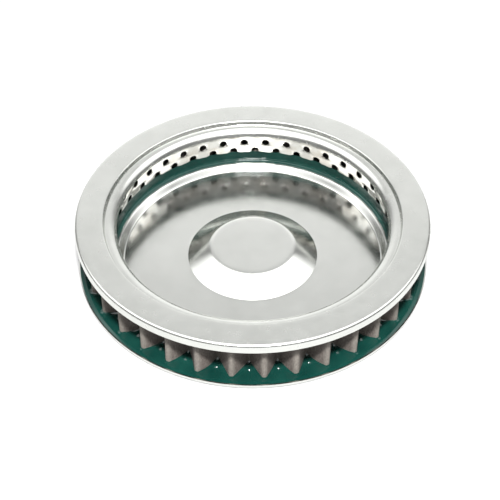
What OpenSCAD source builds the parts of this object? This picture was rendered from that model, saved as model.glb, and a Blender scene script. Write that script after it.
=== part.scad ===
// Round pleated air filter element: a perforated liner and a ring of pleated
// media, bonded with plastisol between a stamped steel top ring and a closed
// stamped steel pan. Z = 0 is the underside of the pan, and the Z axis runs
// through the centre of the element.

/* [Overall] */
// Outside diameter of both end caps
outer_d = 134; // [133:0.5:142]
// Height from the underside of the pan to the top of the flange
height = 22.3; // [22:0.1:27]
// Thickness of the stamped steel sheet
sheet_t = 0.5; // [0.4:0.05:0.6]

/* [Top end ring] */
// Height of the skirt that hangs from the flange's outer edge
skirt_h = 3.5; // [3:0.1:4.5]
// Outside radius of the rounded corner between flange and skirt
skirt_corner_r = 1.2; // [0.8:0.1:1.6]
// Radius of the flange's inner edge, where the sheet steps down to the ledge
flange_inner_r = 56.4; // [56.3:0.1:57]
// How far the ledge lies below the flange
ledge_drop = 1.7; // [1.5:0.1:1.8]
// Inside radius of the neck round the opening
neck_r = 51.4; // [50.9:0.1:51.6]
// Distance from the flange's top down to the neck's lower end
neck_depth = 4.3; // [4.3:0.1:4.7]

/* [Bottom pan] */
// Height of the upturned outer lip
lip_h = 1.9; // [1.6:0.1:2.4]
// Radius of the round bead, at the middle of its crest
bead_r = 52.6; // [52.4:0.1:52.8]
// Width of the bead's crest
bead_w = 1.2; // [1.1:0.1:1.6]
// Height of the bead's crest
bead_h = 3.3; // [2.9:0.1:3.6]
// Height of the floor's upper surface
floor_z = 1.1; // [1:0.1:1.5]
// Radius of the dome's foot
dome_foot_r = 25; // [22:0.5:30]
// Radius of the dome's flat top
dome_top_r = 16; // [12:0.5:18]
// Height of the dome's flat top
dome_h = 6.4; // [4:0.1:8]

/* [Perforated liner] */
// Inside radius of the liner at its foot
liner_r = 54.7; // [54.6:0.1:54.8]
// How much narrower the liner's radius is at its top
liner_taper = 1; // [0.6:0.1:1.2]
// Thickness of the liner's sheet
liner_t = 0.4; // [0.3:0.05:0.5]
// Holes in each row
row_holes = 39; // [24:1:48]
// Rows of holes, each turned by half a pitch from the last
hole_rows = 4; // [2:1:4]
// Diameter of each hole
hole_d = 3; // [2:0.1:3.2]
// Height of the lowest row of holes
first_row_z = 4.2; // [3.6:0.05:4.4]
// Distance between rows
row_pitch = 4.35; // [4:0.05:4.4]

/* [Pleated media] */
// Number of pleats
pleats = 34; // [24:1:40]
// Radius of the outer pleat tips
tip_r = 64.6; // [63:0.1:65]
// Radius of the inner pleat folds
fold_r = 55.6; // [55.4:0.1:56]
// Thickness of the media
media_t = 0.6; // [0.4:0.1:0.8]

/* [Plastisol] */
// Height of the plastisol at the pleat tips
foot_z = 2.3; // [2.2:0.1:3.2]
// Height the plastisol reaches on the outside of the liner
valley_z = 4.8; // [4:0.1:5.2]
// Height the plastisol reaches on the inside of the liner
film_z = 7.7; // [7:0.1:8]
// Distance from the flange's top down to the plastisol's edge inside the liner
top_film_depth = 6.5; // [6.2:0.1:7]

/* [Hidden] */
$fn = 180;

arc_step = 15;          // largest turn between two points of a bend, in degrees
seat_gap = 0.4;         // plastisol between a cap and the end of the liner or media
overcut = 1;            // how far a cutting shape runs past what it cuts
outer_r = outer_d / 2;
inner_wall_r = outer_r - sheet_t;

// Top ring
ledge_z = height - ledge_drop;
neck_z = height - neck_depth;
step_lean = 0.6;        // how far the step leans inwards on its way down
step_bend = 0.7;
ledge_bend = 0.3;
neck_bend = 3.8;
neck_slope = 69.4;      // how steeply the neck ends, in degrees from level

// Pan
bead_lean = 0.7;        // how far the bead's outer flank leans
bead_slope_w = 2.2;     // width of its sloping inner flank
lip_bend = 0.6;
bead_bend = 0.65;
foot_bend = 0.5;
slope_bend = 1.2;       // at the top of the inner flank
slope_foot_bend = 1;
dome_foot_bend = 0.3;
dome_top_bend = 4;

// Liner and media stand between the channel and the underside of the ledge
core_z = sheet_t + seat_gap;
core_top = ledge_z - sheet_t - seat_gap;
core_h = core_top - core_z;
liner_h = core_h - 0.5; // a little lower than the media, clear of the neck's bend
hole_angle = 89;        // direction of one hole in the second row
pleat_angle = 360 / pleats;
tip_angle = 273.7;      // direction of one outer tip

// Plastisol
foot_gap = 0.7;         // from the pleat tips out to where its surface turns
foot_drop = 0.2;        // how far its surface falls over that gap
skirt_fill = 0.4;       // how far its surface stays above the skirt's edge
top_valley_depth = 5.1; // how far below the flange it reaches behind the liner

// Corners of each stamped cap's visible side, as [radius, height, bend radius].
// The sheet lies to the left of the path.
ring_path = [
    [outer_r, height - skirt_h, 0],
    [outer_r, height, skirt_corner_r],
    [flange_inner_r, height, step_bend],
    [flange_inner_r - step_lean, ledge_z, ledge_bend],
    [neck_r + (ledge_z - neck_z) / tan(neck_slope), ledge_z, neck_bend],
    [neck_r, neck_z, 0]
];
channel_path = [
    [inner_wall_r, lip_h, 0],
    [inner_wall_r, sheet_t, lip_bend],
    [bead_r + bead_w / 2 + bead_lean, sheet_t, foot_bend],
    [bead_r + bead_w / 2, bead_h, bead_bend],
    [bead_r, bead_h, 0]
];
floor_path = [
    [bead_r - bead_w / 2, bead_h, slope_bend],
    [bead_r - bead_w / 2 - bead_slope_w, floor_z, slope_foot_bend],
    [dome_foot_r, floor_z, dome_foot_bend],
    [dome_top_r, dome_h, dome_top_bend],
    [0, dome_h, 0]
];
// The bead's crest is one straight stretch, so its middle point is left out
pan_path = concat([for (i = [0:len(channel_path) - 2]) channel_path[i]], floor_path);

// Unit vector from point a towards point b
function toward(a, b) = (b - a) / norm(b - a);

// A direction turned a quarter turn to the left
function left_of(d) = [-d.y, d.x];

// 1 where the path a-b-c turns left and -1 where it turns right
function side(a, b, c) = sign(left_of(toward(a, b)) * toward(b, c));

// Points of the arc of radius r that rounds corner b of the path a-b-c
function bend(a, b, c, r) =
    let (
        u = toward(b, a),
        v = toward(b, c),
        half = acos(u * v) / 2,
        centre = b + toward([0, 0], u + v) * r / sin(half),
        start = b + u * r / tan(half) - centre,
        turn = (180 - 2 * half) * side(a, b, c),
        steps = ceil(abs(turn) / arc_step)
    )
    [for (i = [0:steps])
        let (t = turn * i / steps)
        centre + start * cos(t) + left_of(start) * sin(t)];

// A path of corners as points, with every bend drawn
function bent(path) =
    let (last = len(path) - 1, at = [for (p = path) [p[0], p[1]]])
    concat(
        [at[0]],
        [for (i = [1:last - 1]) each bend(at[i - 1], at[i], at[i + 1], path[i][2])],
        [at[last]]
    );

// The same path moved t to its left, with each bend on its old centre
function moved_left(path, t) =
    let (last = len(path) - 1, at = [for (p = path) [p[0], p[1]]])
    [for (i = [0:last])
        let (
            is_end = i == 0 || i == last,
            m = left_of(toward(at[max(i, 1) - 1], at[max(i, 1)])),
            n = left_of(toward(at[min(i, last - 1)], at[min(i, last - 1) + 1])),
            moved = at[i] + t * (m + n) / (1 + m * n),
            r = is_end ? 0 : path[i][2] - t * side(at[i - 1], at[i], at[i + 1])
        )
        [moved.x, moved.y, r]];

// Inside radius of the liner at height z
function liner_at(z) = liner_r - liner_taper * (z - core_z) / liner_h;

// A list of points in the opposite order
function reversed(points) = [for (i = [len(points) - 1:-1:0]) points[i]];

// A list of points without its first and last
function without_ends(points) = [for (i = [1:len(points) - 2]) points[i]];

// A sheet of revolution that lies to the left of its path
module turned_sheet(path) {
    rotate_extrude()
        polygon(concat(bent(path), reversed(bent(moved_left(path, sheet_t)))));
}

// Closed zigzag with its tips and its folds on two circles
module zigzag(tip, fold) {
    polygon([for (i = [0:2 * pleats - 1])
        let (a = tip_angle + i * pleat_angle / 2)
        (i % 2 == 0 ? tip : fold) * [cos(a), sin(a)]]);
}

// The folded media, standing between the two caps
module pleat_pack() {
    flank = fold_r * [cos(pleat_angle / 2), sin(pleat_angle / 2)] - [tip_r, 0];
    radial_t = media_t * norm(flank) / flank.y;
    translate([0, 0, core_z])
        linear_extrude(core_h)
            difference() {
                zigzag(tip_r, fold_r + radial_t);
                zigzag(tip_r - radial_t, fold_r);
            }
}

// Stamped top cap: skirt, flange, step, ledge and neck in one sheet
module top_end_ring() {
    color("lightgray")
        turned_sheet(ring_path);
}

// Stamped closed pan: lip, channel, bead, floor and dome in one sheet
module bottom_pan() {
    color("gainsboro")
        turned_sheet(pan_path);
}

// Slightly tapered rolled tube with staggered rows of round holes
module perforated_liner() {
    top = core_z + liner_h;
    wall = [
        [liner_r, core_z],
        [liner_r + liner_t, core_z],
        [liner_at(top) + liner_t, top],
        [liner_at(top), top]
    ];
    color("silver")
        difference() {
            rotate_extrude()
                polygon(wall);
            for (row = [0:hole_rows - 1], k = [0:row_holes - 1])
                rotate([0, 0, hole_angle + (k + (row + 1) % 2 / 2) * 360 / row_holes])
                    translate([liner_at(top) - overcut, 0, first_row_z + row * row_pitch])
                        rotate([0, 90, 0])
                            cylinder(d = hole_d, h = liner_taper + liner_t + 2 * overcut, $fn = 24);
        }
}

// One long strip of filter media in V-pleats
module pleated_media() {
    color("dimgray")
        pleat_pack();
}

// Plastisol that fills the top ring from skirt to neck
module top_potting_ring() {
    underside = without_ends(bent(moved_left(ring_path, sheet_t)));
    rim_z = height - skirt_h + skirt_fill;
    valley = height - top_valley_depth;
    film = height - top_film_depth;
    top = core_z + liner_h;
    surface = [
        [inner_wall_r, rim_z],
        [tip_r + foot_gap, rim_z - foot_drop],
        [(tip_r + liner_r) / 2, valley + 0.4],
        [liner_at(valley) + liner_t, valley]
    ];
    liner_slot = [
        [liner_at(top) + liner_t, top],
        [liner_at(top), top],
        [liner_at(film), film]
    ];
    meniscus = [
        [liner_at(film + 0.5) - 0.15, film + 0.5],
        [liner_at(film + 1.1) - 0.5, film + 1.1]
    ];
    color("seagreen")
        difference() {
            rotate_extrude()
                polygon(concat(surface, liner_slot, meniscus, reversed(underside)));
            pleat_pack();
        }
}

// Plastisol that fills the pan's channel and creeps up the liner
module bottom_potting_ring() {
    film = [
        [bead_r + 1.2, bead_h + 0.25],
        [liner_at(bead_h + 1.1) - 0.3, bead_h + 1.1],
        [liner_at(bead_h + 2.3) - 0.12, bead_h + 2.3],
        [liner_at(film_z), film_z]
    ];
    liner_slot = [
        [liner_r, core_z],
        [liner_r + liner_t, core_z]
    ];
    surface = [
        [liner_at(valley_z) + liner_t, valley_z],
        [(tip_r + liner_r) / 2, valley_z - 0.9],
        [tip_r + foot_gap, foot_z - foot_drop]
    ];
    color("seagreen")
        difference() {
            rotate_extrude()
                polygon(concat(bent(channel_path), film, liner_slot, surface));
            pleat_pack();
        }
}

top_end_ring();
bottom_pan();
perforated_liner();
pleated_media();
top_potting_ring();
bottom_potting_ring();
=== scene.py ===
"""Looks of a round pleated air filter element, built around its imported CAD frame.

Blender's objects are in metres. Sizes and sections are written in millimetres, sections as
[radius, height, bend radius], and new_object scales them by MM. The element's axis is Z, and its underside
lies at Z = 0.
"""

import math

import bmesh
import bpy
import numpy as np
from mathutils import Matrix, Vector, noise


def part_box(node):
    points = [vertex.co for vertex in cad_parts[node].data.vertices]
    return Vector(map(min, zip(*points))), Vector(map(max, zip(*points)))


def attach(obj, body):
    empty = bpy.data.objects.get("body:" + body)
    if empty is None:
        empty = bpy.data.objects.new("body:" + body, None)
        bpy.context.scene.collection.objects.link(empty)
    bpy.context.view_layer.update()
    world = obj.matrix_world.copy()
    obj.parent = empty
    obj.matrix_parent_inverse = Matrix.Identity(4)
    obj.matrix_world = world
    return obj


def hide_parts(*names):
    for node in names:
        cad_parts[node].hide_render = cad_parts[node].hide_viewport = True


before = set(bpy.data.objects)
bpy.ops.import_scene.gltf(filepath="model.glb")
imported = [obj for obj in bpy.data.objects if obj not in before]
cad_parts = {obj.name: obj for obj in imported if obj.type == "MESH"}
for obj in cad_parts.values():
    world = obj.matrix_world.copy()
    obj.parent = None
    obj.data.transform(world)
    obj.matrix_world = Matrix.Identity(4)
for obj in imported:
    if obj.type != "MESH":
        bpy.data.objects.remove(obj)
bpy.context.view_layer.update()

MM = 0.001
SEED = 7
rng = np.random.default_rng(SEED)

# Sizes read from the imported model, in millimetres
OUTER_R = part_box("top_end_ring")[1].x / MM
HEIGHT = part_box("top_end_ring")[1].z / MM
DOME_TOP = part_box("bottom_pan")[1].z / MM
LINER_LOW, LINER_HIGH = (corner.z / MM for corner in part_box("perforated_liner"))
CORE_LOW, CORE_HIGH = (corner.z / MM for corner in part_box("pleated_media"))

# Sizes of the design that the boxes do not give, in millimetres
SHEET_T = 0.5
SKIRT_H = 3.5
FLANGE_INNER_R = 56.4
STEP_LEAN = 0.6         # how far the step leans inwards on its way down to the ledge
LEDGE_DROP = 1.7
NECK_R = 51.4
NECK_DEPTH = 4.3
NECK_BEND = 3.8
NECK_LEAN = 0.98        # how far the neck narrows between its bend's corner and its end
LIP_H = 1.9
BEAD_R = 52.6
BEAD_W = 1.2
BEAD_H = 3.3
BEAD_LEAN = 0.7         # how far the bead's outer flank leans
BEAD_SLOPE_W = 2.2      # width of its sloping inner flank
FLOOR_Z = 1.1
DOME_FOOT_R = 25.0
DOME_TOP_R = 16.0
LINER_R = 54.7
LINER_T = 0.4
LINER_TAPER = 1.0
ROW_HOLES = 39
HOLE_ROWS = 4
HOLE_R = 1.5
FIRST_ROW_Z = 4.2
ROW_PITCH = 4.35
HOLE_ANGLE = 89.0       # direction of one hole in the second row, in degrees
PLEATS = 34
TIP_R = 64.6
FOLD_R = 55.6
MEDIA_T = 0.6
TIP_ANGLE = 273.7       # direction of one outer tip, in degrees
TOP_FILM_DEPTH = 6.5    # how far below the flange the upper plastisol reaches inside the liner

HOLE_PITCH = 2 * math.pi / ROW_HOLES
AROUND = 360            # columns of a turned sheet


# ---------------------------------------------------------------- outlines


def unit(v):
    return v / np.linalg.norm(v)


def left_of(d):
    return np.array([-d[1], d[0]])


def bend(a, b, c, radius, step=7.5):
    """Points of the arc that rounds corner b of the path a-b-c."""
    u, v = unit(a - b), unit(c - b)
    half = math.acos(float(np.clip(u @ v, -1, 1))) / 2
    centre = b + unit(u + v) * radius / math.sin(half)
    start = b + u * radius / math.tan(half) - centre
    side = np.sign(left_of(-u) @ v)
    turn = (math.pi - 2 * half) * side
    steps = max(2, math.ceil(abs(math.degrees(turn)) / step))
    angles = [turn * i / steps for i in range(steps + 1)]
    return [centre + start * math.cos(t) + left_of(start) * math.sin(t) for t in angles]


def bent(path, step=7.5):
    """A path of [radius, height, bend] corners as points, with every bend drawn."""
    at = [np.array(p[:2], float) for p in path]
    points = [at[0]]
    for i in range(1, len(path) - 1):
        points += bend(at[i - 1], at[i], at[i + 1], path[i][2], step)
    return points + [at[-1]]


def moved_left(path, t):
    """The same path moved t to its left, with each bend on its old centre."""
    at = [np.array(p[:2], float) for p in path]
    last = len(path) - 1
    moved = []
    for i, p in enumerate(path):
        before = left_of(unit(at[max(i, 1)] - at[max(i, 1) - 1]))
        after = left_of(unit(at[min(i, last - 1) + 1] - at[min(i, last - 1)]))
        point = at[i] + t * (before + after) / (1 + before @ after)
        turn = np.sign(before[0] * after[1] - before[1] * after[0])
        moved.append([point[0], point[1], 0 if i in (0, last) else p[2] - t * turn])
    return moved


def filled_in(points, longest):
    """The same outline with long stretches cut into shorter ones."""
    out = [points[0]]
    for a, b in zip(points, points[1:]):
        pieces = max(1, math.ceil(np.linalg.norm(b - a) / longest))
        out += [a + (b - a) * (i + 1) / pieces for i in range(pieces)]
    return out


# ---------------------------------------------------------------- mesh helpers


def new_object(name, verts, faces, smooth_angle=40):
    """A mesh object in metres from points in millimetres, smooth apart from its sharp edges."""
    mesh = bpy.data.meshes.new(name)
    mesh.from_pydata((np.asarray(verts) * MM).tolist(), [], faces)
    mesh.validate()
    mesh.shade_smooth()
    mesh.set_sharp_from_angle(angle=math.radians(smooth_angle))
    obj = bpy.data.objects.new(name, mesh)
    bpy.context.scene.collection.objects.link(obj)
    return obj


def weld(obj, distance=1e-6):
    """Joins vertices that lie on each other, such as those where a turned section meets the axis."""
    bm = bmesh.new()
    bm.from_mesh(obj.data)
    bmesh.ops.remove_doubles(bm, verts=bm.verts, dist=distance)
    bm.to_mesh(obj.data)
    bm.free()


def grid_faces(rows, cols, row_loop, col_loop, flip=False):
    """Quads of a grid whose vertex (i, j) has index i * cols + j."""
    faces = []
    for i in range(rows if row_loop else rows - 1):
        k = (i + 1) % rows
        for j in range(cols if col_loop else cols - 1):
            m = (j + 1) % cols
            quad = (i * cols + j, i * cols + m, k * cols + m, k * cols + j)
            faces.append(quad[::-1] if flip else quad)
    return faces


def full_turn(columns):
    """Evenly spaced directions round the axis, in radians."""
    return np.arange(columns) * 2 * math.pi / columns


def ring_points(r, a, z):
    """Rows of points round the axis, as one list of (x, y, z)."""
    return np.stack([r * np.cos(a), r * np.sin(a), z], -1).reshape(-1, 3)


def turned(name, section, warp):
    """A closed section turned round the Z axis. warp(r, a, z) returns a lift for each vertex."""
    a = full_turn(AROUND)
    section = np.array(section)
    r, z = (np.repeat(section[:, [k]], AROUND, 1) for k in (0, 1))
    faces = grid_faces(len(section), AROUND, True, True)
    obj = new_object(name, ring_points(r, a, z + warp(r, a, z)), faces)
    if section[:, 0].min() < 1e-6:
        weld(obj)
    return obj


def progress(value, start, end):
    """How far value has gone from start to end, held between 0 and 1."""
    return np.clip((value - start) / (end - start), 0, 1)


def swell(distance, width):
    """A smooth rise that is 1 where distance is 0 and fades over width."""
    return np.exp(-(distance / width) ** 2)


def ripple(r, a, scale, seed):
    """Smooth noise from -1 to 1 over the plane, sampled at polar points in millimetres."""
    out = np.empty(r.size)
    for i, (x, y) in enumerate(zip((r * np.cos(a)).ravel(), (r * np.sin(a)).ravel())):
        out[i] = noise.noise(Vector((x / scale, y / scale, seed)))
    return out.reshape(r.shape)


def waves(a, count, seed):
    """Smooth noise from -1 to 1 round a ring, with more waves for a larger count."""
    return ripple(np.full(a.shape, float(count)), a, scale=1, seed=seed)


# ---------------------------------------------------------------- steel caps


RING_PATH = [
    [OUTER_R, HEIGHT - SKIRT_H, 0],
    [OUTER_R, HEIGHT, 1.2],
    [FLANGE_INNER_R, HEIGHT, 0.7],
    [FLANGE_INNER_R - STEP_LEAN, HEIGHT - LEDGE_DROP, 0.3],
    [NECK_R + NECK_LEAN, HEIGHT - LEDGE_DROP, NECK_BEND],
    [NECK_R, HEIGHT - NECK_DEPTH, 0],
]
PAN_PATH = [
    [OUTER_R - SHEET_T, LIP_H, 0],
    [OUTER_R - SHEET_T, SHEET_T, 0.6],
    [BEAD_R + BEAD_W / 2 + BEAD_LEAN, SHEET_T, 0.5],
    [BEAD_R + BEAD_W / 2, BEAD_H, 0.65],
    [BEAD_R - BEAD_W / 2, BEAD_H, 1.2],
    [BEAD_R - BEAD_W / 2 - BEAD_SLOPE_W, FLOOR_Z, 1.0],
    [DOME_FOOT_R, FLOOR_Z, 0.3],
    [DOME_TOP_R, DOME_TOP, 4.0],
    [0.0, DOME_TOP, 0],
]
LONGEST_STEP = 1.5      # between two points of a sheet's outline

FLANGE_SAG = 0.03       # the flange lies up to twice this below its true level
FLANGE_SAG_Z = HEIGHT - 2.2, HEIGHT - 1.4       # heights between which the sag sets in
CROWN_H = 0.35          # how far the floor would rise at the axis if there were no dome
CROWN_R = 50.0          # where the floor starts to rise
CROWN_EASE = 8.0        # width over which the rise sets in
FLOOR_UNEVEN = 0.06


def sheet_section(path):
    """Closed outline of a bent sheet that lies to the left of its visible side."""
    seen = filled_in(bent(path), LONGEST_STEP)
    hidden = filled_in(bent(moved_left(path, SHEET_T)), LONGEST_STEP)
    return seen + hidden[::-1]


def make_top_ring():
    def warp(r, a, z):
        return -FLANGE_SAG * progress(z, *FLANGE_SAG_Z) * (1 + ripple(r, a, scale=22, seed=1.7))

    ring = turned("top_ring_sheet", sheet_section(RING_PATH), warp)
    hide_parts("top_end_ring")
    return ring


def make_pan():
    def warp(r, a, z):
        inside = progress(r, CROWN_R, CROWN_R - CROWN_EASE)
        below_top = 1 - progress(z, FLOOR_Z, DOME_TOP)
        crown = CROWN_H * (1 - (np.maximum(r, DOME_FOOT_R) / CROWN_R) ** 2) * below_top
        off_axis = progress(r, 4, 14)
        uneven = FLOOR_UNEVEN * off_axis * ripple(r, a, scale=26, seed=4.2)
        return inside * (crown + uneven)

    pan = turned("pan_sheet", sheet_section(PAN_PATH), warp)
    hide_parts("bottom_pan")
    return pan


# ---------------------------------------------------------------- liner


PATCH_STEPS = 8                             # edges on each side of the patch round a hole
HOLE_RINGS = [0.0, 0.12, 0.4, 1.0]          # shares of the way from the hole's edge to the patch's edge
HOLE_DIMPLE = [0.10, 0.045, 0.0, 0.0]       # how far each ring is pushed outwards by the punch
OUTER_DIMPLE = 0.3                          # share of the dimple that shows on the liner's outside


def liner_radius(z):
    return LINER_R - LINER_TAPER * (z - LINER_LOW) / (LINER_HIGH - LINER_LOW)


def patch_outline(z0, z1):
    """Points round one patch, as (angle in pitches, z), starting at its lower left corner."""
    steps = [i / PATCH_STEPS for i in range(PATCH_STEPS)]
    bottom = [(-0.5 + t, z0) for t in steps]
    right = [(0.5, z0 + (z1 - z0) * t) for t in steps]
    top = [(0.5 - t, z1) for t in steps]
    left = [(-0.5, z1 - (z1 - z0) * t) for t in steps]
    return bottom + right + top + left


def patch_points(outline, centre, hole_z):
    """The liner's inner and outer wall round one hole, ring by ring from the hole's edge."""
    points = []
    for wall in (0, 1):
        for share, dimple in zip(HOLE_RINGS, HOLE_DIMPLE):
            for u, z in outline:
                du, dz = u * HOLE_PITCH * LINER_R, z - hole_z
                turn = math.atan2(dz, du)
                hx, hz = HOLE_R * math.cos(turn), HOLE_R * math.sin(turn)
                x, height = hx + (du - hx) * share, hole_z + hz + (dz - hz) * share
                angle = centre + x / LINER_R
                r = liner_radius(height) + wall * LINER_T + dimple * (OUTER_DIMPLE if wall else 1)
                points.append((r * math.cos(angle), r * math.sin(angle), height))
    return points


def patch_faces(first, outline):
    """Quads of one patch: both walls, the hole's edge and, on the liner's rims, the sheet's edge."""
    n, rings = len(outline), len(HOLE_RINGS)
    outer, last_ring = first + rings * n, (rings - 1) * n
    faces = []
    for wall in (first, outer):
        for i in range(wall, wall + last_ring, n):
            for j in range(n):
                m = (j + 1) % n
                quad = (i + j, i + n + j, i + n + m, i + m)
                faces.append(quad if wall == outer else quad[::-1])
    for j in range(n):
        m = (j + 1) % n
        faces.append((first + j, outer + j, outer + m, first + m))
        if outline[j][1] == outline[m][1] and outline[j][1] in (LINER_LOW, LINER_HIGH):
            inner_rim, outer_rim = first + last_ring, outer + last_ring
            faces.append((inner_rim + m, outer_rim + m, outer_rim + j, inner_rim + j))
    return faces


def make_liner():
    """Rolled perforated sheet: one square patch of mesh round every hole, whose edge is pushed outwards."""
    between_rows = [FIRST_ROW_Z + (i + 0.5) * ROW_PITCH for i in range(HOLE_ROWS - 1)]
    seams = [LINER_LOW] + between_rows + [LINER_HIGH]
    verts, faces = [], []
    for row in range(HOLE_ROWS):
        outline = patch_outline(seams[row], seams[row + 1])
        stagger = (row + 1) % 2 / 2
        for k in range(ROW_HOLES):
            centre = math.radians(HOLE_ANGLE) + (k + stagger) * HOLE_PITCH
            faces += patch_faces(len(verts), outline)
            verts += patch_points(outline, centre, FIRST_ROW_Z + row * ROW_PITCH)
    liner = new_object("liner_sheet", verts, faces)
    weld(liner, 2e-6)
    liner.data.shade_smooth()
    liner.data.set_sharp_from_angle(angle=math.radians(50))
    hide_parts("perforated_liner")
    return liner


# ---------------------------------------------------------------- pleated media


# Spreads of the folded strip's unevenness, in degrees and millimetres
CORNER_TURN = 0.35
TIP_SPREAD = 0.12
FOLD_SPREAD = 0.1
FLANK_BOW = 0.12
FLANK_SWAY = 0.18
SWAY_WIDTH, SWAY_HEIGHT = 9, 12         # size of the sway's waves

TIP_INSET = 0.35        # how far inside TIP_R the tips lie on average
FOLD_INSET = 0.45       # how far outside FOLD_R the folds lie at least
MEDIA_LEVELS = 13


def pleat_corners():
    """Corners of the zigzag, tip and fold in turn, in millimetres, with a little unevenness."""
    corners = []
    for i in range(2 * PLEATS):
        angle = math.radians(TIP_ANGLE + i * 180 / PLEATS + rng.normal(0, CORNER_TURN))
        if i % 2 == 0:
            radius = TIP_R - TIP_INSET + rng.normal(0, TIP_SPREAD)
        else:
            radius = FOLD_R + FOLD_INSET + abs(rng.normal(0, FOLD_SPREAD))
        corners.append(radius * np.array([math.cos(angle), math.sin(angle)]))
    return corners


PLEAT_CORNERS = pleat_corners()


def pleat_line(tip_bend=0.8, fold_bend=0.7, flank_steps=7, arc_step=22):
    """The strip's middle line round one turn, and how much paler painted light its colour gets at each
    point.
    """
    points, painted_light_share = [], []
    count = len(PLEAT_CORNERS)
    for i in range(count):
        before, here, after, beyond = (PLEAT_CORNERS[(i + k) % count] for k in (-1, 0, 1, 2))
        bend_here, bend_after = (tip_bend, fold_bend) if i % 2 == 0 else (fold_bend, tip_bend)
        arc = bend(before, here, after, bend_here, arc_step)
        following = bend(here, after, beyond, bend_after, arc_step)[0]
        bow = left_of(unit(following - arc[-1])) * rng.normal(0, FLANK_BOW)
        points += arc
        # painted highlight: full on the tips' bends, half on the folds' bends
        painted_light_share += [1.0 if i % 2 == 0 else 0.5] * len(arc)
        for k in range(1, flank_steps):
            t = k / flank_steps
            points.append(arc[-1] * (1 - t) + following * t + bow * math.sin(math.pi * t))
            # and fading out along the flanks next to each bend
            painted_light_share.append(max(0.0, 0.6 - 4 * min(t, 1 - t)))
    return np.array(points), np.array(painted_light_share)


def make_media():
    """The folded strip: its outer and inner side, closed along the upper and lower edge."""
    line, painted_light_share = pleat_line()
    along = np.roll(line, -1, 0) - np.roll(line, 1, 0)
    along /= np.linalg.norm(along, axis=1)[:, None]
    normal = np.stack([along[:, 1], -along[:, 0]], -1)
    count = len(line)
    verts, marks = [], []
    for side in (1, -1):
        for z in np.linspace(CORE_LOW, CORE_HIGH, MEDIA_LEVELS):
            places = [Vector((x / SWAY_WIDTH, y / SWAY_WIDTH, z / SWAY_HEIGHT)) for x, y in line]
            sway = np.array([noise.noise(place) for place in places])
            shifted = line + normal * (side * MEDIA_T / 2 + FLANK_SWAY * sway[:, None])
            verts += [(x, y, z) for x, y in shifted]
            # the inner side is painted paler all over, as painted light on the media that shows through the
            # liner's holes
            marks += list(painted_light_share if side == 1 else np.ones(count))
    inner_first = MEDIA_LEVELS * count
    top = (MEDIA_LEVELS - 1) * count
    outer = grid_faces(MEDIA_LEVELS, count, False, True)
    inner = [tuple(v + inner_first for v in f[::-1]) for f in outer]
    ends = []
    for j in range(count):
        m = (j + 1) % count
        ends.append((j, inner_first + j, inner_first + m, m))
        ends.append((top + m, inner_first + top + m, inner_first + top + j, top + j))
    media = new_object("pleat_media_strip", verts, outer + inner + ends, 60)
    # the share of paler painted light, read by the media's material
    mark = media.data.attributes.new("painted_light_share", "FLOAT", "POINT")
    mark.data.foreach_set("value", np.array(marks, np.float32))
    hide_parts("pleated_media")
    return media


# ---------------------------------------------------------------- plastisol


INNER_R = 55.0          # the pours' surfaces run from here, within the liner's sheet,
TURN_R = 65.2           # to here, where they turn to the cap's wall
POUR_SINK = 0.15        # how far the lower pour is set into the pan's sheet, so that no gap shows
TOP_POUR_SINK = 0.1
POUR_ARC_STEP = 20      # degrees between two rows round a bend

# Film over the bead, measured from (BEAD_R, BEAD_H), then up the liner, as (distance inside LINER_R, height)
BEAD_FILM = [(-0.05, -0.12), (0.15, 0.10), (0.5, 0.17)]
LINER_FILM = [
    (1.3, 3.60), (0.95, 3.84), (0.75, 4.25), (0.62, 4.75), (0.55, 5.35),
    (0.5, 6.0), (0.46, 6.6), (0.43, 7.2), (0.34, 7.9),
]
FILM_WAVE = 0.35        # height of the long waves at the film's upper edge
FILM_FINE_WAVE = 0.25
DENT = 0.14             # how deep the film sinks into the hidden holes
DENT_Z = 5.1
DENT_WIDTH, DENT_HEIGHT = 0.9, 0.6

SURFACE_Z = 2.1         # level of the lower pour round the pleat tips
EDGE_DROP = 0.35        # how far it falls to the pan's lip
INNER_RISE = 2.2        # how far it rises towards the liner
RISE_R = 62.0           # where that rise starts
SURFACE_WAVE = 0.08
MOUND_H = 0.5           # small mound in each valley between two pleats
MOUND_R = 59.8
MOUND_LENGTH, MOUND_WIDTH = 0.8, 0.9
CREEP = 0.4             # how far it creeps up the media
CREEP_REACH = 0.45
CREEP_R = 64.8, 62.8    # it creeps from the first radius on, and fully from the second

TOP_SURFACE_DEPTH = 3.6
TOP_EDGE_RISE = 0.5
TOP_INNER_DROP = 0.6
TOP_DROP_R = 60.0
TOP_CREEP = 0.45
TOP_CREEP_REACH = 0.85
# Inside the liner, as (distance inside LINER_R, height above the film's lower edge)
TOP_FILM = [(0.7, 0.0), (0.9, 0.25), (1.05, 0.6), (1.3, 1.1), (1.8, 1.6)]


def climb(r, a, height, reach):
    """How far the plastisol creeps up beside the media at each point of the circle of radius r."""
    count = len(PLEAT_CORNERS)
    x, y = r * np.cos(a), r * np.sin(a)
    total = np.zeros(a.shape)
    for i in range(count):
        p, q = PLEAT_CORNERS[i], PLEAT_CORNERS[(i + 1) % count]
        d = q - p
        t = np.clip(((x - p[0]) * d[0] + (y - p[1]) * d[1]) / (d @ d), 0, 1)
        gap = np.maximum(np.hypot(x - p[0] - t * d[0], y - p[1] - t * d[1]) - MEDIA_T / 2, 0)
        total += height * np.exp(-gap / reach)
    return total


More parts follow.
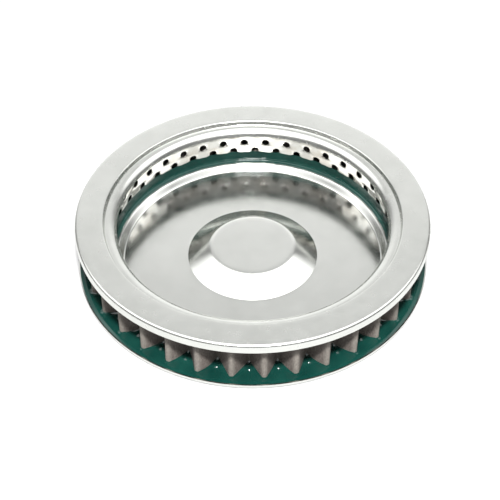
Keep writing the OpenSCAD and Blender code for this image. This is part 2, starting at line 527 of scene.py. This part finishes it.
def film_rows(a, wave):
    """Rows of the wavy film over the bead and up the liner, sunk a little into the hidden holes."""
    fine = waves(a, count=20, seed=8.1)
    from_hole = (a - math.radians(HOLE_ANGLE)) % HOLE_PITCH - HOLE_PITCH / 2
    dent = DENT * swell(from_hole * LINER_R, DENT_WIDTH)
    film = [(BEAD_R + out, BEAD_H + up) for out, up in BEAD_FILM]
    film += [(LINER_R - gap, z) for gap, z in LINER_FILM]
    rows = []
    for i, (r, z) in enumerate(film):
        share = i / (len(film) - 1)
        lift = share * (FILM_WAVE * wave + FILM_FINE_WAVE * fine)
        rows.append((r + dent * swell(z - DENT_Z, DENT_HEIGHT), z + lift))
    return rows


def surface_rows(a, wave):
    """Rows of the lower pour's surface, which creeps up the pleats and mounds a little in the valleys."""
    folds = np.array([math.atan2(y, x) for x, y in PLEAT_CORNERS[1::2]])
    from_fold = np.abs((a - folds[:, None] + math.pi) % (2 * math.pi) - math.pi).min(0)
    edge = [65.6, 65.95, 66.2, 66.38, 66.49]
    rows = []
    for r in np.concatenate([np.linspace(INNER_R, TURN_R, 42), edge]):
        lip = progress(r, TURN_R, edge[-1])
        level = SURFACE_Z - EDGE_DROP * lip + INNER_RISE * progress(r, RISE_R, INNER_R) ** 1.5
        mound = MOUND_H * swell(r - MOUND_R, MOUND_LENGTH) * swell(from_fold * r, MOUND_WIDTH)
        rise = climb(r, a, CREEP, CREEP_REACH) * progress(r, *CREEP_R)
        rows.append((r, level + mound + rise + SURFACE_WAVE * wave * (1 - lip)))
    return rows


def poured(name, rows, a):
    """A closed ring from rows of (radius, height), where either may be one number or one per column."""
    r, z = (np.array([np.broadcast_to(row[k], a.shape) for row in rows]) for k in (0, 1))
    faces = grid_faces(len(rows), len(a), True, True, flip=True)
    return new_object(name, ring_points(r, a, z), faces, 70)


def make_bottom_plastisol(columns=PLEATS * 34):
    """Poured ring: a wavy film inside the liner, then a surface that creeps up the pleats."""
    a = full_turn(columns)
    wave = waves(a, count=6, seed=3.3)
    channel = bent(PAN_PATH[:4] + [[BEAD_R - 0.1, BEAD_H, 0]], POUR_ARC_STEP)[1:]
    underside = [(r, z - POUR_SINK) for r, z in channel]
    ring = poured("bottom_plastisol", film_rows(a, wave) + surface_rows(a, wave) + underside, a)
    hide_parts("bottom_potting_ring")
    return ring


def make_top_plastisol(columns=PLEATS * 18):
    """The same pour inside the top ring, with its surface facing down."""
    a = full_turn(columns)
    edge = [66.45, 66.2, 65.8]
    rows = []
    for r in np.concatenate([edge, np.linspace(TURN_R, INNER_R, 20)]):
        lip = progress(r, TURN_R, edge[0])
        level = HEIGHT - TOP_SURFACE_DEPTH + TOP_EDGE_RISE * lip
        level -= TOP_INNER_DROP * progress(r, TOP_DROP_R, INNER_R)
        rows.append((r, level - climb(r, a, TOP_CREEP, TOP_CREEP_REACH) * (1 - lip)))
    rows += [(LINER_R - gap, HEIGHT - TOP_FILM_DEPTH + up) for gap, up in TOP_FILM]
    under_ring = bent(moved_left(RING_PATH, SHEET_T), POUR_ARC_STEP)[1:-1]
    rows += [(r, z + TOP_POUR_SINK) for r, z in under_ring[::-1]]
    ring = poured("top_plastisol", rows, a)
    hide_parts("top_potting_ring")
    return ring


# ---------------------------------------------------------------- materials


class Nodes:
    """A node tree with a few short ways to add to it."""

    def __init__(self, tree):
        self.tree = tree

    def node(self, kind, **settings):
        n = self.tree.nodes.new(kind)
        for key, value in settings.items():
            setattr(n, key, value)
        return n

    def link(self, out, socket):
        self.tree.links.new(out, socket)

    def ramp(self, value, stops):
        """Colours by value. stops is a list of (position, (r, g, b))."""
        n = self.node("ShaderNodeValToRGB")
        n.color_ramp.elements[0].position = stops[0][0]
        n.color_ramp.elements[0].color = (*stops[0][1], 1)
        n.color_ramp.elements[1].position = stops[-1][0]
        n.color_ramp.elements[1].color = (*stops[-1][1], 1)
        for position, colour in stops[1:-1]:
            n.color_ramp.elements.new(position).color = (*colour, 1)
        self.link(value, n.inputs["Fac"])
        return n.outputs["Color"]

    def span(self, value, low, high, start=0.3, end=0.7, smooth=False):
        """A value that goes from low to high as the given value goes from start to end."""
        n = self.node("ShaderNodeMapRange")
        if smooth:
            n.interpolation_type = "SMOOTHSTEP"
        n.inputs["From Min"].default_value = start
        n.inputs["From Max"].default_value = end
        n.inputs["To Min"].default_value = low
        n.inputs["To Max"].default_value = high
        self.link(value, n.inputs["Value"])
        return n.outputs["Result"]

    def calculate(self, operation, a, b=None):
        """A Math node. b is a number, another node's output, or nothing if the operation takes one value."""
        n = self.node("ShaderNodeMath", operation=operation)
        self.link(a, n.inputs[0])
        if isinstance(b, (int, float)):
            n.inputs[1].default_value = b
        elif b is not None:
            self.link(b, n.inputs[1])
        return n.outputs[0]

    def mix(self, share, a, b):
        """Colour a where share is 0, colour b where it is 1."""
        n = self.node("ShaderNodeMix", data_type="RGBA")
        self.link(share, n.inputs["Factor"])
        self.link(a, n.inputs[6])       # the colour sockets, which share the names A and B with others
        self.link(b, n.inputs[7])
        return n.outputs[2]


class Look(Nodes):
    """A principled material whose patterns lie in the object's own coordinates."""

    def __init__(self, name):
        self.material = bpy.data.materials.new(name)
        self.material.use_nodes = True
        super().__init__(self.material.node_tree)
        self.shader = self.tree.nodes["Principled BSDF"]
        self.place = self.node("ShaderNodeTexCoord").outputs["Object"]

    def set(self, **values):
        for key, value in values.items():
            self.shader.inputs[key.replace("_", " ")].default_value = value

    def use(self, out, name):
        self.link(out, self.shader.inputs[name])

    def noise(self, size, detail=3.0, rough=0.5, stretch=None):
        """Noise with features about size millimetres across."""
        n = self.node("ShaderNodeTexNoise")
        n.inputs["Scale"].default_value = 1 / (size * MM)
        n.inputs["Detail"].default_value = detail
        n.inputs["Roughness"].default_value = rough
        place = self.place
        if stretch:
            m = self.node("ShaderNodeMapping")
            m.inputs["Scale"].default_value = stretch
            self.link(place, m.inputs["Vector"])
            place = m.outputs["Vector"]
        self.link(place, n.inputs["Vector"])
        return n.outputs["Fac"]

    def bump(self, height, strength, depth, after=None):
        n = self.node("ShaderNodeBump")
        n.inputs["Strength"].default_value = strength
        n.inputs["Distance"].default_value = depth * MM
        self.link(height, n.inputs["Height"])
        if after is not None:
            self.link(after, n.inputs["Normal"])
        return n.outputs["Normal"]


def grey(level):
    return (level,) * 3


def tin(name, blotch, tones, gloss, grain_size, grain_strength):
    """Bright tinned steel: cloudy tone, uneven gloss and a faint pebbled grain."""
    look = Look(name)
    look.set(Metallic=1.0)
    dull, bright = tones
    look.use(look.ramp(look.noise(blotch, 4), [(0.3, dull), (0.7, bright)]), "Base Color")
    look.use(look.span(look.noise(blotch / 3, 4), *gloss), "Roughness")
    look.use(look.bump(look.noise(grain_size, 2), grain_strength, 0.01), "Normal")
    return look.material


def cap_steel():
    tones = ((0.64, 0.65, 0.62), (0.69, 0.70, 0.67))
    return tin("tinned_cap_steel", 9, tones, (0.22, 0.28), 0.35, 0.15)


def pan_steel():
    tones = ((0.68, 0.69, 0.66), (0.73, 0.74, 0.71))
    return tin("tinned_pan_steel", 14, tones, (0.15, 0.21), 0.5, 0.2)


def liner_steel():
    tones = ((0.70, 0.66, 0.61), (0.82, 0.82, 0.80))
    return tin("perforated_liner_steel", 7, tones, (0.08, 0.16), 0.8, 0.3)


def plastisol():
    look = Look("green_plastisol")
    look.set(Metallic=0.0, IOR=1.5)
    greens = [(0.3, (0.0015, 0.015, 0.012)), (0.7, (0.003, 0.023, 0.018))]
    look.use(look.ramp(look.noise(7, 3), greens), "Base Color")
    look.use(look.span(look.noise(4, 3), 0.07, 0.14), "Roughness")
    look.use(look.bump(look.noise(2.2, 2), 0.2, 0.04), "Normal")
    return look.material


def filter_media():
    """Fibrous media, painted paler on the pleats' bends as a painted highlight and all over its inner side
    as painted light.
    """
    look = Look("fibrous_filter_media")
    look.set(Metallic=0.0, Roughness=0.95)
    fibre = look.noise(0.45, 6, 0.7, (1, 1, 0.45))
    flat = [(0.3, (0.045, 0.036, 0.031)), (0.5, (0.085, 0.072, 0.064)), (0.72, (0.15, 0.135, 0.12))]
    # paler tones for the painted highlight on the bends and the painted light on the inner side
    painted_light_tones = [(0.3, (0.085, 0.076, 0.066)), (0.7, (0.19, 0.175, 0.155))]
    painted_light_share = look.node("ShaderNodeAttribute", attribute_name="painted_light_share").outputs["Fac"]
    # how far the paler painted-light tones are mixed in
    share = look.span(painted_light_share, 0.0, 0.75, 0.0, 1.0)
    look.use(look.mix(share, look.ramp(fibre, flat), look.ramp(fibre, painted_light_tones)), "Base Color")
    look.use(look.bump(fibre, 0.6, 0.12), "Normal")
    return look.material


def give(obj, material):
    obj.data.materials.clear()
    obj.data.materials.append(material)


# ---------------------------------------------------------------- studio


CAMERA_ELEVATION = 42.37
CAMERA_DISTANCE = 0.5025
FOCAL_SHARE = 2.665          # focal length over sensor width
CAMERA_SHIFT = (-0.0053, -0.0724)
LAMP_ELEVATION, LAMP_AZIMUTH = 60, 2
LAMP_DISTANCE = 0.9
FLOOR_SIZE = 6.0

# Brightness by how far a direction points towards the wall behind the element, from -1 to 1
WALLS = [
    (-1.0, 1.3), (-0.6, 1.3), (-0.3, 1.0), (-0.1, 0.9), (0.58, 0.70),
    (0.68, 0.80), (0.74, 1.05), (0.80, 1.28), (1.0, 1.4),
]
ROOM_TURN = (120, 160)       # the dark room in front fades between these turns from straight in front
ROOM_TOP = (38.5, 43)        # and between these elevations, all in degrees
ROOM_LEVEL = 0.20
PANEL_LEVEL = 1.6            # brightness of the soft light above
PANEL_EDGE = (0.40, 0.56)    # distances from its centre between which it fades


def toward_camera(elevation, azimuth=0.0):
    """Unit vector from the element towards the camera's side, azimuth turning it to the right."""
    e, a = math.radians(elevation), math.radians(azimuth)
    return Vector((math.cos(e) * math.sin(a), -math.cos(e) * math.cos(a), math.sin(e)))


def make_camera():
    data = bpy.data.cameras.new("camera")
    data.sensor_width = 36.0
    data.lens = FOCAL_SHARE * data.sensor_width
    data.shift_x, data.shift_y = CAMERA_SHIFT
    data.clip_start = 0.01
    data.clip_end = 50
    camera = bpy.data.objects.new("camera", data)
    bpy.context.scene.collection.objects.link(camera)
    out = toward_camera(CAMERA_ELEVATION)
    camera.location = Vector((0, 0, HEIGHT * MM)) + out * CAMERA_DISTANCE
    camera.rotation_euler = (-out).to_track_quat("-Z", "Y").to_euler()
    bpy.context.scene.camera = camera


def make_lamp(name, size, power):
    """A rectangular lamp above the camera, turned to the element."""
    direction = toward_camera(LAMP_ELEVATION, LAMP_AZIMUTH)
    data = bpy.data.lights.new(name, "AREA")
    data.shape = "RECTANGLE"
    data.size, data.size_y = size
    data.energy = power
    lamp = bpy.data.objects.new(name, data)
    lamp.location = direction * LAMP_DISTANCE
    lamp.rotation_euler = (-direction).to_track_quat("-Z", "Y").to_euler()
    bpy.context.scene.collection.objects.link(lamp)
    return lamp


def make_lamps():
    key = make_lamp("key", (0.10, 0.08), 30)
    key.visible_glossy = False          # its mirror image would glare on the bright sheet
    glint = make_lamp("glint", (0.2, 0.12), 8)
    glint.visible_diffuse = False       # it only puts glints on glossy pieces


def make_world():
    """A pale studio: bright wall behind the element, dark room in front, wide soft light above."""
    world = bpy.data.worlds.new("studio")
    bpy.context.scene.world = world
    world.use_nodes = True
    sky = Nodes(world.node_tree)
    sky.tree.nodes.clear()
    split = sky.node("ShaderNodeSeparateXYZ")
    sky.link(sky.node("ShaderNodeTexCoord").outputs["Generated"], split.inputs[0])
    across, back, up = split.outputs
    shade = sky.ramp(sky.span(back, 0, 1, -1, 1), [((1 + at) / 2, grey(level)) for at, level in WALLS])

    # The dark room in front, low and wide
    turn = sky.calculate("ABSOLUTE", sky.calculate("ARCTAN2", across, sky.calculate("MULTIPLY", back, -1)))
    ahead = sky.span(turn, 1, 0, *(math.radians(t) for t in ROOM_TURN), True)
    low = sky.span(up, 1, 0, *(math.sin(math.radians(t)) for t in ROOM_TOP), True)
    dim = sky.span(sky.calculate("MULTIPLY", ahead, low), 1, ROOM_LEVEL, 0, 1)

    # The soft light above is an ellipse, wide from side to side, whose wings bend back
    side = sky.calculate("MULTIPLY", across, 0.45)
    wing = sky.calculate("MULTIPLY", sky.calculate("ABSOLUTE", across), -0.5)
    fore = sky.calculate("ADD", sky.calculate("ADD", back, wing), 0.20)
    side_squared = sky.calculate("MULTIPLY", side, side)
    fore_squared = sky.calculate("MULTIPLY", fore, fore)
    reach = sky.calculate("SQRT", sky.calculate("ADD", side_squared, fore_squared))
    panel = sky.span(reach, PANEL_LEVEL, 0.0, *PANEL_EDGE, True)
    overhead = sky.calculate("MULTIPLY", panel, sky.span(up, 0, 1, 0.3, 0.5))

    light = sky.node("ShaderNodeBackground")
    total = sky.node("ShaderNodeVectorMath", operation="ADD")
    darkened = sky.node("ShaderNodeVectorMath", operation="SCALE")
    sky.link(shade, darkened.inputs[0])
    sky.link(dim, darkened.inputs["Scale"])
    sky.link(darkened.outputs[0], total.inputs[0])
    sky.link(overhead, total.inputs[1])
    sky.link(total.outputs[0], light.inputs["Color"])
    sky.link(light.outputs["Background"], sky.node("ShaderNodeOutputWorld").inputs["Surface"])


def make_floor():
    mesh = bpy.data.meshes.new("floor")
    half = FLOOR_SIZE / 2
    corners = [(-half, -half, 0), (half, -half, 0), (half, half, 0), (-half, half, 0)]
    mesh.from_pydata(corners, [], [(0, 1, 2, 3)])
    floor = bpy.data.objects.new("floor", mesh)
    bpy.context.scene.collection.objects.link(floor)
    look = Look("pale_floor")
    look.set(Roughness=0.9)
    look.use(look.ramp(look.noise(60, 2), [(0.3, grey(0.28)), (0.7, grey(0.29))]), "Base Color")
    floor.data.materials.append(look.material)


def make_studio():
    make_camera()
    make_world()
    make_floor()
    make_lamps()
    bpy.context.scene.view_settings.view_transform = "Standard"
    bpy.context.scene.view_settings.look = "None"


# ---------------------------------------------------------------- assembly


def dress():
    looks = {
        "cap": cap_steel(), "pan": pan_steel(), "liner": liner_steel(),
        "plastisol": plastisol(), "media": filter_media(),
    }
    pieces = [
        (make_top_ring(), "cap", "top_end_ring"),
        (make_pan(), "pan", "bottom_pan"),
        (make_liner(), "liner", "perforated_liner"),
        (make_media(), "media", "pleated_media"),
        (make_bottom_plastisol(), "plastisol", "bottom_potting_ring"),
        (make_top_plastisol(), "plastisol", "top_potting_ring"),
    ]
    for obj, look, node in pieces:
        give(obj, looks[look])
        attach(obj, "root")
        give(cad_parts[node], looks[look])


make_studio()
dress()
